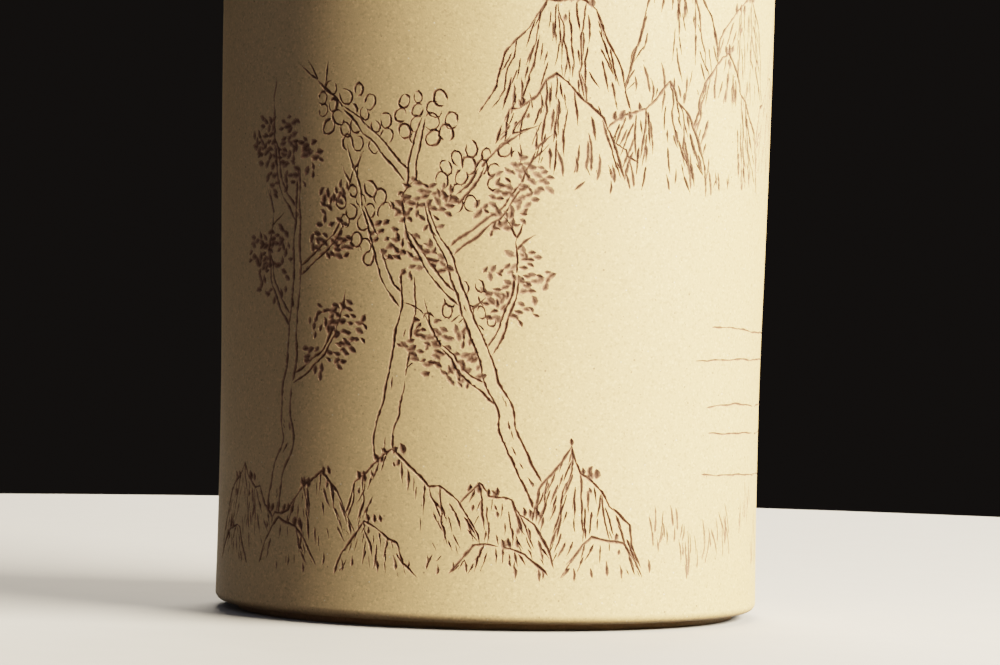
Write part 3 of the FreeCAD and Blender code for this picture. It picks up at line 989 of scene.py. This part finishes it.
class Surface:
    """A material under construction: its node tree and its one Principled shader."""

    def __init__(self, name, roughness, specular):
        self.material = bpy.data.materials.new(name)
        self.material.use_nodes = True
        self.tree = self.material.node_tree
        self.shader = self.tree.nodes["Principled BSDF"]
        self.shader.inputs["Roughness"].default_value = roughness
        self.shader.inputs["Specular IOR Level"].default_value = specular
        scale = self.node("ShaderNodeVectorMath", operation="SCALE")
        scale.inputs["Scale"].default_value = 1 / MM
        self.link(self.node("ShaderNodeTexCoord").outputs["Object"], scale.inputs[0])
        self.place = scale.outputs[0]        # the point on the pot, in millimetres

    def node(self, kind, **settings):
        made = self.tree.nodes.new(kind)
        for name, setting in settings.items():
            setattr(made, name, setting)
        return made

    def link(self, out, into):
        self.tree.links.new(out, into)

    def put(self, socket, value):
        """Gives a socket a number, a colour or what another socket says."""
        if isinstance(value, (int, float)):
            socket.default_value = value
        elif isinstance(value, tuple):
            socket.default_value = (*value, 1.0)
        else:
            self.link(value, socket)

    def noise(self, per_mm, detail=2.0, roughness=0.5, place=None):
        """Noise with about per_mm features a millimetre, from 0 to 1."""
        made = self.node("ShaderNodeTexNoise")
        made.inputs["Scale"].default_value = per_mm
        made.inputs["Detail"].default_value = detail
        made.inputs["Roughness"].default_value = roughness
        self.link(place or self.place, made.inputs["Vector"])
        return made.outputs["Fac"]

    def cells(self, per_mm):
        """Random cells: the distance to each one's centre, and its own random colour."""
        made = self.node("ShaderNodeTexVoronoi")
        made.inputs["Scale"].default_value = per_mm
        self.link(self.place, made.inputs["Vector"])
        return made.outputs["Distance"], made.outputs["Color"]

    def range(self, value, low, high, to_low=0.0, to_high=1.0):
        made = self.node("ShaderNodeMapRange")
        limits = {"From Min": low, "From Max": high, "To Min": to_low, "To Max": to_high}
        for socket, number in limits.items():
            made.inputs[socket].default_value = number
        self.link(value, made.inputs["Value"])
        return made.outputs["Result"]

    def math(self, operation, a, b):
        made = self.node("ShaderNodeMath", operation=operation)
        for socket, value in zip(made.inputs, (a, b)):
            self.put(socket, value)
        return made.outputs[0]

    def mix(self, share, a, b, blend="MIX"):
        """Colour a turning to colour b; each is a colour socket or three numbers."""
        made = self.node("ShaderNodeMix", data_type="RGBA", blend_type=blend)
        for socket, value in ((made.inputs["Factor"], share), (made.inputs[6], a), (made.inputs[7], b)):
            self.put(socket, value)
        return made.outputs[2]

    def part(self, vector, axis):
        made = self.node("ShaderNodeSeparateXYZ")
        self.link(vector, made.inputs[0])
        return made.outputs[axis]

    def bump(self, height, microns):
        made = self.node("ShaderNodeBump")
        made.inputs["Distance"].default_value = microns * 1e-6
        self.link(height, made.inputs["Height"])
        self.link(made.outputs["Normal"], self.shader.inputs["Normal"])


# Iron specks and pale grains: cells a millimetre, size, share of cells without one, colour.
SPECKS = ((0.36, 0.085, 0.55, (0.13, 0.08, 0.05)), (0.8, 0.13, 0.72, (0.26, 0.16, 0.09)),
          (0.66, 0.12, 0.78, (0.93, 0.86, 0.70)))


def sandy(name, base, roughness, specular, grain_microns, strength=1.0, foot=True):
    """Unglazed fired clay: sand grains in several tones, iron specks, pits, a slow drift of colour, and
    painted shade with warm painted bounce light along the foot.
    """
    s = Surface(name, roughness, specular)
    dark, light = tuple(0.86 * c for c in base), tuple(min(1.0, 1.07 * c) for c in base)
    drift = s.range(s.noise(0.035, 3.0), 0.3, 0.7)
    colour = s.mix(drift, tuple(c * f for c, f in zip(base, (0.975, 0.965, 0.94))),
                   tuple(c * f for c, f in zip(base, (1.015, 1.02, 1.03))))
    mottle = s.range(s.noise(0.55, 3.0, 0.6), 0.35, 0.65)
    colour = s.mix(s.math("MULTIPLY", mottle, 0.5 * strength), colour, light)
    fine = s.noise(2.6, 3.0, 0.65)
    colour = s.mix(s.range(fine, 0.62, 0.40, 0.0, 0.9 * strength), colour, dark)
    grain_tone = s.part(s.cells(2.3)[1], 0)
    dark_grain, pale_grain = tuple(0.68 * c for c in base), tuple(min(1, 1.2 * c) for c in base)
    colour = s.mix(s.range(grain_tone, 0.80, 1.0, 0.0, 0.75 * strength), colour, dark_grain)
    colour = s.mix(s.range(grain_tone, 0.16, 0.0, 0.0, 0.8 * strength), colour, pale_grain)
    for per_mm, size, share, tint in SPECKS:
        near_speck, kind = s.cells(per_mm)
        chosen = s.range(s.part(kind, 1), share, share + 0.02)
        spot = s.math("MULTIPLY", s.range(near_speck, size, size * 0.6), chosen)
        colour = s.mix(s.math("MULTIPLY", spot, 0.75), colour, tint)
    # Painted light: below about a millimetre over the wall's foot, the foot ring too, the colour turns a
    # darker orange-brown. This is painted shade under the rounded lower edge, with a warm cast of painted
    # bounce light.
    if foot:
        edge = s.range(s.part(s.place, 2), WALL_FOOT + 0.9, WALL_FOOT - 0.2)
        colour = s.mix(s.math("MULTIPLY", edge, 0.5), colour, (0.56, 0.31, 0.13))
    s.link(colour, s.shader.inputs["Base Color"])
    wiped = s.node("ShaderNodeMapping")
    wiped.inputs["Scale"].default_value = (0.12, 0.12, 1.0)
    s.link(s.place, wiped.inputs["Vector"])
    pits = s.range(s.cells(1.1)[0], 0.10, 0.2)
    height = s.math("ADD", s.math("MULTIPLY", fine, 1.0), s.math("MULTIPLY", s.noise(1.1, 3.0, 0.6), 1.1))
    height = s.math("ADD", height, s.math("MULTIPLY", pits, 0.5))
    height = s.math("ADD", height, s.math("MULTIPLY", s.noise(1.4, 2.0, place=wiped.outputs[0]), 0.35))
    s.bump(height, grain_microns)
    rubbed = s.range(s.noise(1.7, 3.0), 0.3, 0.7, roughness - 0.07, roughness + 0.07)
    s.link(rubbed, s.shader.inputs["Roughness"])
    return s.material


CLAY = (0.75, 0.53, 0.285)


def clay_material():
    return sandy("cream_clay", CLAY, 0.58, 0.32, 21.0)


def floor_material():
    """The inside floor and underside, scraped and not burnished."""
    return sandy("scraped_clay", (0.69, 0.53, 0.325), 0.74, 0.3, 16.0, 1.3)


def slip_material():
    return sandy("fired_slip", tuple(0.97 * c for c in CLAY), 0.62, 0.36, 8.0, 0.8)


def wash_material():
    """Thin brown clay wash, darker where the groove is deep, partly as pooled wash and partly as painted
    shade, and crumbling away at its edges.
    """
    s = Surface("brown_wash", 0.72, 0.25)
    depth = s.node("ShaderNodeAttribute", attribute_name="groove_depth").outputs["Fac"]
    patch = s.noise(0.9, 3.0, 0.6)
    # Darker with depth, from pinkish brown at the groove's edge to near black at its bottom: partly pooled
    # wash, partly painted shade.
    pooling_and_shade = s.math("ADD", s.range(depth, 0.03, 0.34), s.range(patch, 0.3, 0.7, -0.25, 0.25))
    colour = s.mix(s.range(pooling_and_shade, 0.05, 0.95), (0.40, 0.228, 0.152), (0.085, 0.036, 0.021))
    colour = s.mix(s.range(s.noise(5.0, 2.0), 0.58, 0.75, 0.0, 0.6), colour, (0.46, 0.28, 0.165))
    crumbs = s.math("SUBTRACT", s.noise(3.4, 3.0, 0.7), s.math("MULTIPLY", depth, 1.5))
    colour = s.mix(s.range(crumbs, 0.40, 0.50, 0.0, 0.85), colour, tuple(0.86 * c for c in CLAY))
    s.link(colour, s.shader.inputs["Base Color"])
    s.bump(s.noise(4.2, 3.0, 0.6), 24.0)
    return s.material


# ---------------------------------------------------------------- floor, light and camera

def plain_material(name, colour, roughness):
    s = Surface(name, roughness, 0.3)
    tint = s.mix(s.range(s.noise(0.08, 3.0), 0.3, 0.7), colour, tuple(0.97 * c for c in colour))
    s.link(tint, s.shader.inputs["Base Color"])
    return s.material


def set_stage():
    """A plain pale floor, a big soft key light to the right, and a little fill."""
    bpy.ops.mesh.primitive_circle_add(vertices=96, radius=0.42, fill_type="NGON", location=(0, 0.08, 0))
    floor = bpy.context.object
    floor.name = "floor"
    floor.data.materials.append(plain_material("pale_floor", (0.50, 0.515, 0.54), 0.85))
    floor.visible_diffuse = False            # the light it would throw back up is in the fill

    def soft_light(name, azimuth, elevation, distance, size, watts, colour):
        """An area light facing the pot; azimuth is to the right of the front."""
        a, e = math.radians(azimuth), math.radians(elevation)
        back = Vector((math.sin(a) * math.cos(e), -math.cos(a) * math.cos(e), math.sin(e)))
        data = bpy.data.lights.new(name, "AREA")
        data.shape, data.size, data.size_y = "RECTANGLE", *size
        data.energy, data.color = watts, colour
        light = bpy.data.objects.new(name, data)
        light.location = Vector((0, 0, 0.08)) + back * distance
        light.rotation_euler = back.to_track_quat("Z", "Y").to_euler()
        bpy.context.collection.objects.link(light)

    soft_light("key", 64, 28, 0.95, (0.75, 0.36), 62, (1.0, 0.835, 0.61))
    soft_light("fill", -12, 26, 1.3, (0.7, 0.4), 1.5, (1.0, 0.95, 1.0))
    soft_light("edge", -112, 24, 1.1, (0.4, 0.6), 0.2, (0.9, 0.95, 1.0))
    soft_light("rear", 176, 34, 1.0, (0.6, 0.4), 16, (1.0, 0.87, 0.7))
    world = bpy.data.worlds.new("studio")
    world.use_nodes = True
    world.node_tree.nodes["Background"].inputs["Color"].default_value = (0.006, 0.005, 0.0045, 1)
    world.node_tree.nodes["Background"].inputs["Strength"].default_value = 1.0
    bpy.context.scene.world = world
    bpy.context.scene.view_settings.view_transform = "Filmic"


def set_camera():
    """Level with the lower pot, a little to its right, and rolled by the photograph's small tilt."""
    data = bpy.data.cameras.new("camera")
    data.lens, data.sensor_width = 134.8, 36.0
    data.clip_start, data.clip_end = 0.05, 20.0
    camera = bpy.data.objects.new("camera", data)
    place = Matrix.Translation((0.00175, -0.764, 0.0568))
    level, roll = Matrix.Rotation(math.radians(90), 4, "X"), Matrix.Rotation(math.radians(1.33), 4, "Z")
    camera.matrix_world = place @ level @ roll
    bpy.context.collection.objects.link(camera)
    bpy.context.scene.camera = camera


build_pot()
set_stage()
set_camera()
